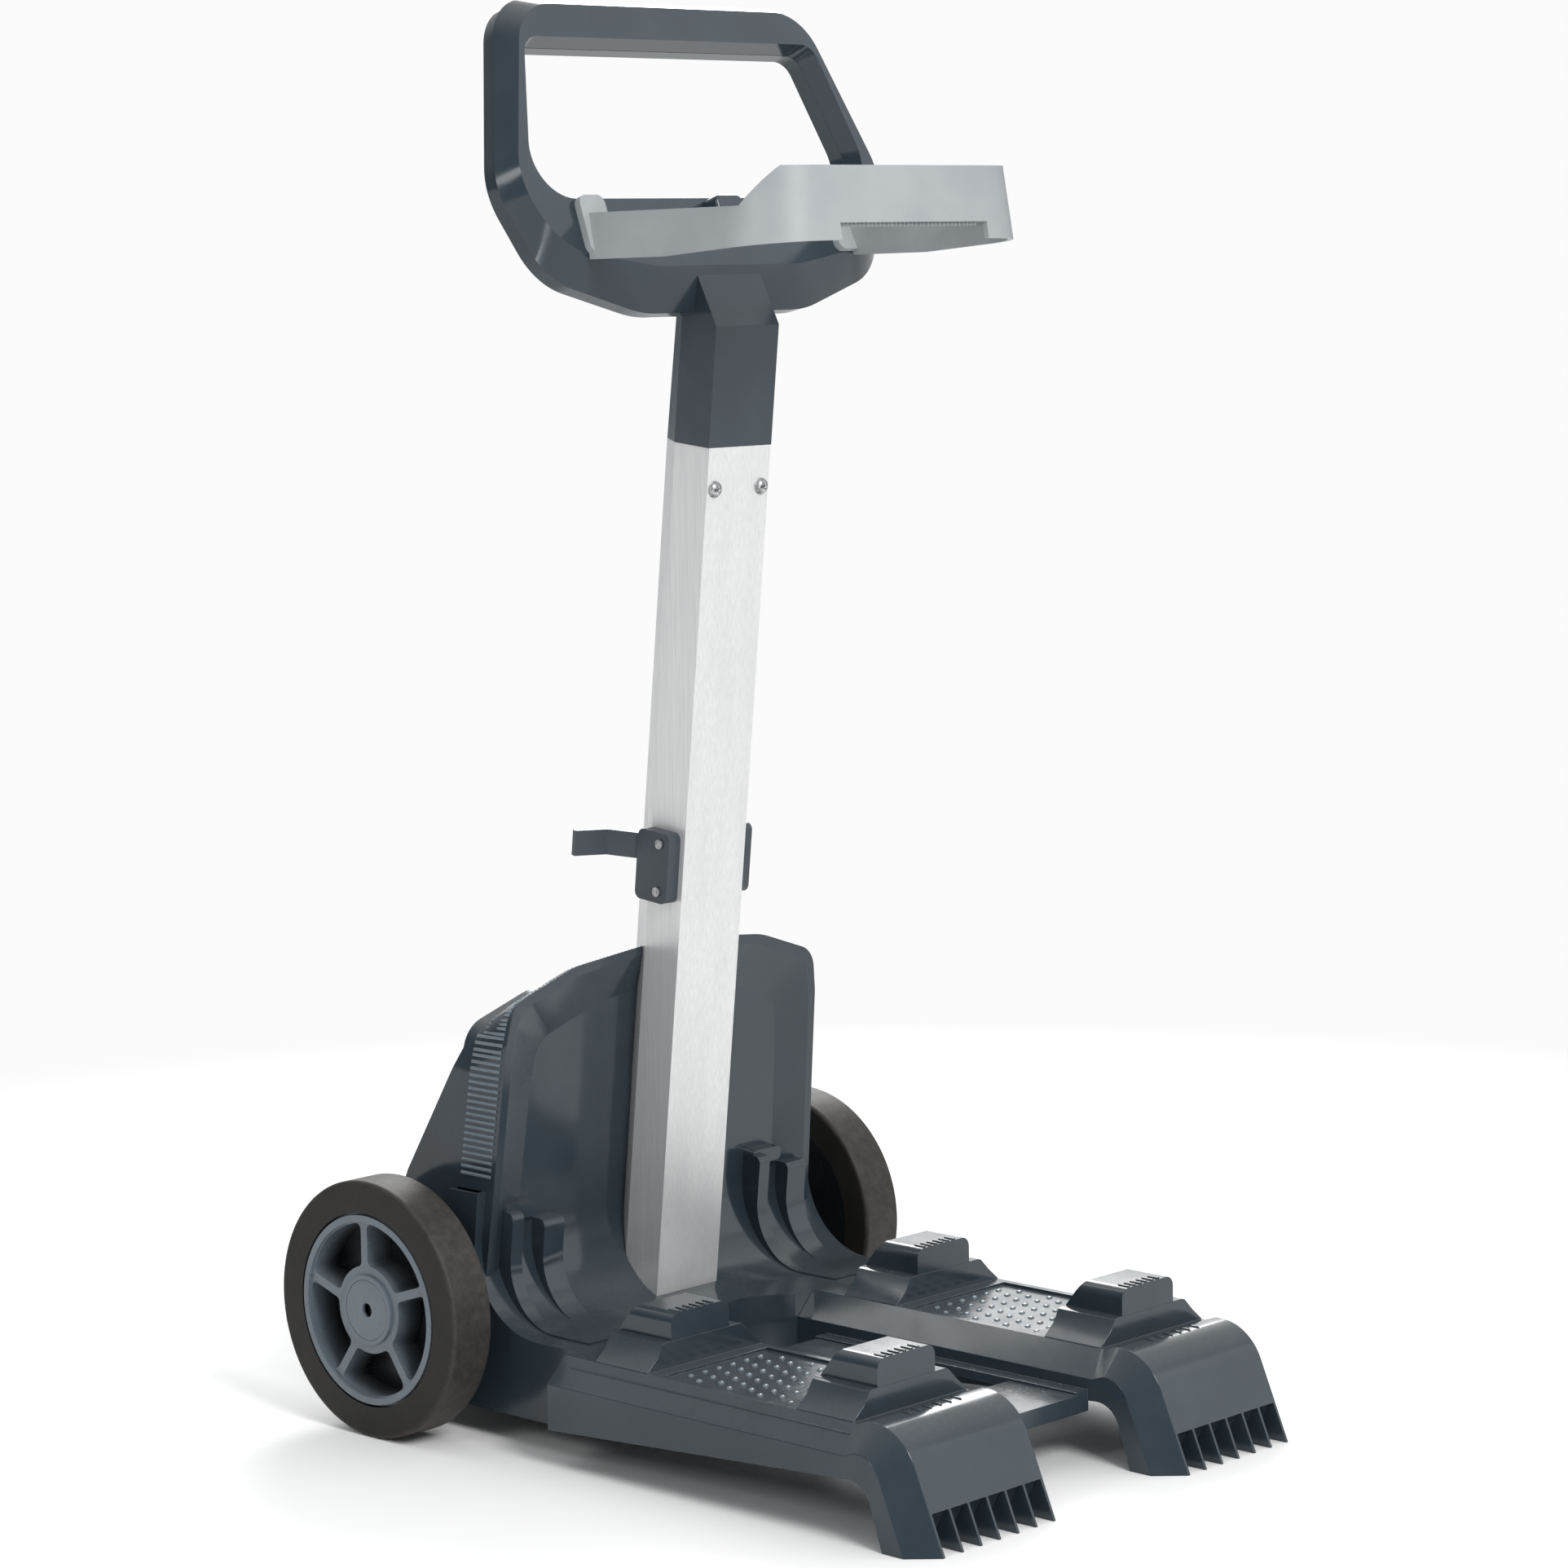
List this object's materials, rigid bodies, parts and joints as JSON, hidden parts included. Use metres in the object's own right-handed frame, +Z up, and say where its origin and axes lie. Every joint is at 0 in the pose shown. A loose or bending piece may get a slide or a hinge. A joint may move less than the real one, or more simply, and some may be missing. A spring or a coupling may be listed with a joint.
{
  "type": "pool cleaner caddy",
  "caption": "Two-wheeled hand trolley for a robotic pool cleaner: forked base with rests, leaning mast, loop handle and control box holder.",
  "frame": {"origin": "on the ground, in the middle of the overall box: midway between fork tips and wheel backs, and between the wheels", "axes": "+X to the right of someone looking at the fork side's rear panel, forks point to -Y, +Z up"},
  "size_m": [0.423, 0.5454, 0.9258],
  "materials": {
    "base_plastic": "moulded gloss, dark blue-grey",
    "mast_metal": "silver-white anodised",
    "inner_plastic": "hidden mouldings",
    "holder_plastic": "light grey, semi-matt",
    "hook_plastic": "dark moulded",
    "screw_steel": "zinc plated",
    "axle_steel": "plain bright",
    "tyre_rubber": "brown-black rubber, semi-matt",
    "hub_plastic": "moulded, satin grey"
  },
  "bodies": {
    "chassis": {"base_front": "base_plastic", "base_rear": "base_plastic", "fork_frame": "base_plastic", "rest_pad_front_left": "base_plastic", "rest_pad_front_right": "base_plastic", "rest_pad_rear_left": "base_plastic", "rest_pad_rear_right": "base_plastic", "handle_front": "base_plastic", "handle_rear": "base_plastic", "box_catch": "base_plastic", "mast_tube": "mast_metal", "mast_bracket": "inner_plastic", "handle_spigot": "inner_plastic", "box_holder": "holder_plastic", "cable_hook_left": "hook_plastic", "cable_hook_right": "hook_plastic", "mast_bracket_screws": "screw_steel", "handle_mast_screws": "screw_steel", "handle_shell_screws": "screw_steel", "holder_screws": "screw_steel", "cable_hook_screws": "screw_steel", "housing_screws": "screw_steel", "fork_screws": "screw_steel", "axle_retainers": "screw_steel", "axle": "axle_steel", "axle_spacers": "axle_steel"},
    "wheel_left": {"tyre_left": "tyre_rubber", "hub_left": "hub_plastic", "bush_left": "inner_plastic", "hub_cap_left": "hub_plastic"},
    "wheel_right": {"tyre_right": "tyre_rubber", "hub_right": "hub_plastic", "bush_right": "inner_plastic", "hub_cap_right": "hub_plastic"}
  },
  "joints": [
    {"name": "wheel_left_spin", "type": "hinge", "parent": "chassis", "child": "wheel_left", "pos_m": [-0.195, 0.18775, 0.085], "axis": [1, 0, 0], "continuous": true},
    {"name": "wheel_right_spin", "type": "hinge", "parent": "chassis", "child": "wheel_right", "pos_m": [0.195, 0.18775, 0.085], "axis": [1, 0, 0], "continuous": true}
  ]
}
